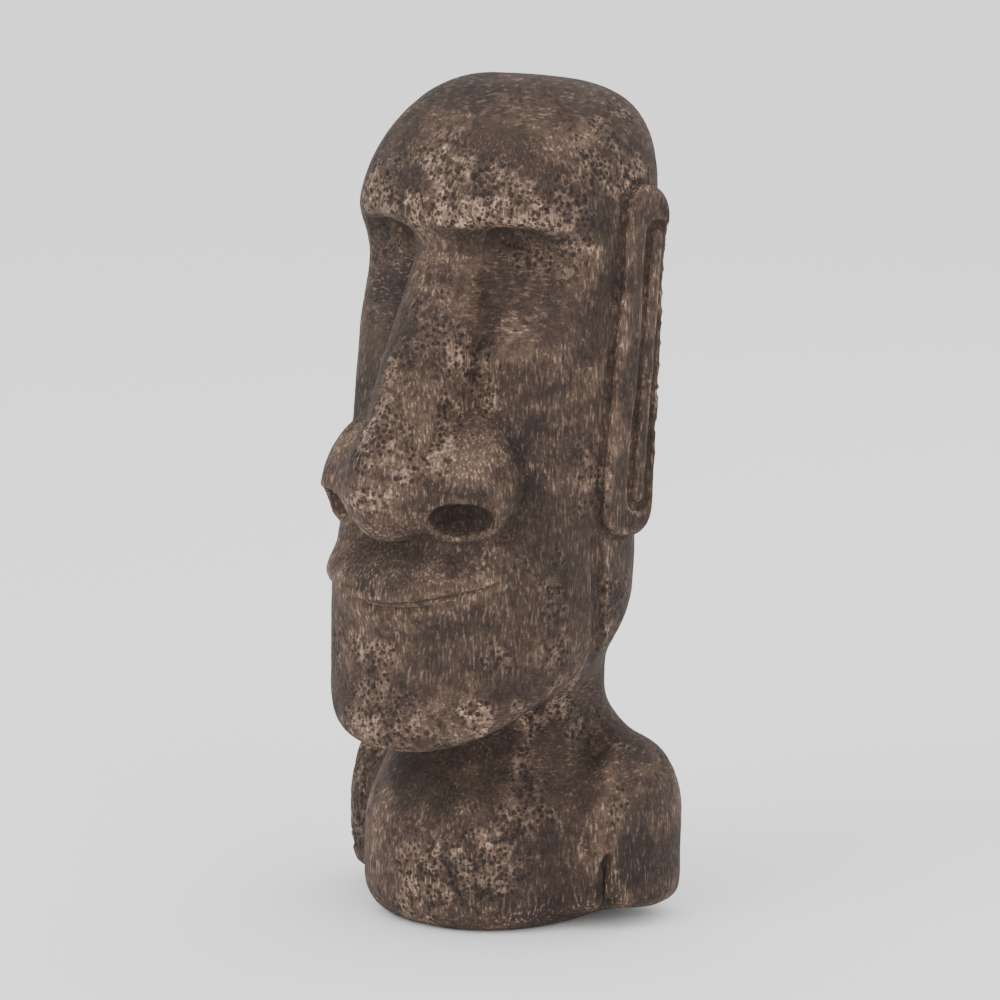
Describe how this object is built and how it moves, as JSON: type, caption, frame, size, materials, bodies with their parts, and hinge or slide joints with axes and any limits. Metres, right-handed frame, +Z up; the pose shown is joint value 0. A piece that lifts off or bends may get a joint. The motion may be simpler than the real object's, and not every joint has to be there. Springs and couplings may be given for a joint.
{
  "type": "moai statue",
  "caption": "Upright stone head statue with a heavy brow, long nose, long ears, thin mouth, and a short bust with arms, standing on its flat underside.",
  "frame": {"origin": "middle of the overall box at the level of the flat underside", "axes": "+Z up along the statue, +X towards the statue's left ear, the face looks towards -Y"},
  "size_m": [0.353, 0.3466, 0.808],
  "materials": {
    "stone": "matte, pitted and weathered"
  },
  "bodies": {
    "root": {"moai_statue": "stone"}
  },
  "joints": []
}
